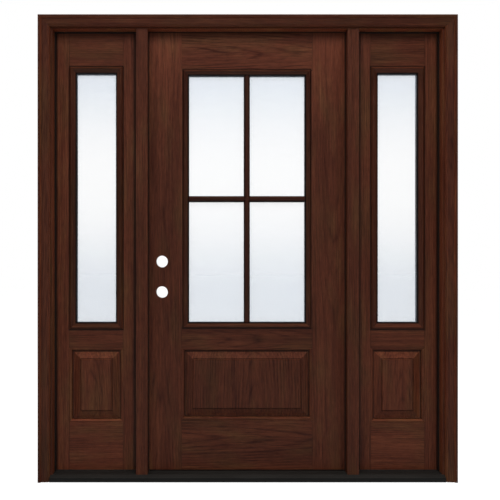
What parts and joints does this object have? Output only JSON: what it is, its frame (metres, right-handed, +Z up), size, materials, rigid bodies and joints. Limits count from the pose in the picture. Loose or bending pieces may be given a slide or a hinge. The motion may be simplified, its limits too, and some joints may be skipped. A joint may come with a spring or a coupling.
{
  "type": "exterior door",
  "caption": "Inswing entry door with a divided glass light over a raised panel, between two fixed sidelites in one cased jamb frame on a sill.",
  "frame": {"origin": "middle of the sill's underside, in the plane where the casing's back lies against the outer face of the wall", "axes": "+X right as seen from outdoors, +Y indoors, +Z up"},
  "size_m": [1.8676, 0.1628, 2.0811],
  "materials": {
    "stained_wood": "dark cherry stain, satin clear coat",
    "glass": "clear double glazing",
    "glass_spacer": "dark foam edge spacer",
    "sill_metal": "dark bronze anodised",
    "sill_composite": "dark moulded composite",
    "seal": "dark brown seal",
    "hinge_metal": "dark bronze plated steel"
  },
  "bodies": {
    "frame": {"brickmould_head": "stained_wood", "brickmould_left": "stained_wood", "brickmould_right": "stained_wood", "door_seals": "seal", "frame_stops": "stained_wood", "head_jamb": "stained_wood", "hinge_frame_leaves": "hinge_metal", "hinge_pins": "hinge_metal", "jamb_left": "stained_wood", "jamb_right": "stained_wood", "mullion_left": "stained_wood", "mullion_right": "stained_wood", "sidelite_gaskets": "seal", "sidelite_left_glass": "glass", "sidelite_left_glass_spacer": "glass_spacer", "sidelite_left_lite_frame_inside": "stained_wood", "sidelite_left_lite_frame_outside": "stained_wood", "sidelite_left_pad": "sill_composite", "sidelite_left_panel": "stained_wood", "sidelite_left_rails": "stained_wood", "sidelite_left_stiles": "stained_wood", "sidelite_right_glass": "glass", "sidelite_right_glass_spacer": "glass_spacer", "sidelite_right_lite_frame_inside": "stained_wood", "sidelite_right_lite_frame_outside": "stained_wood", "sidelite_right_pad": "sill_composite", "sidelite_right_panel": "stained_wood", "sidelite_right_rails": "stained_wood", "sidelite_right_stiles": "stained_wood", "sill_core": "sill_composite", "sill_deck": "sill_metal", "threshold_cap": "sill_composite"},
    "door": {"door_bottom_rail": "stained_wood", "door_glass": "glass", "door_glass_spacer": "glass_spacer", "door_hinge_stile": "stained_wood", "door_lite_frame_inside": "stained_wood", "door_lite_frame_outside": "stained_wood", "door_lock_rail": "stained_wood", "door_lock_stile": "stained_wood", "door_muntins_inside": "stained_wood", "door_muntins_outside": "stained_wood", "door_panel": "stained_wood", "door_sweep": "seal", "door_top_rail": "stained_wood", "hinge_door_leaves": "hinge_metal"}
  },
  "joints": [
    {"name": "door_swing", "type": "hinge", "parent": "frame", "child": "door", "pos_m": [0.4598, 0.124, 1.0365], "axis": [0, 0, -1], "range_deg": [0, 170]}
  ]
}
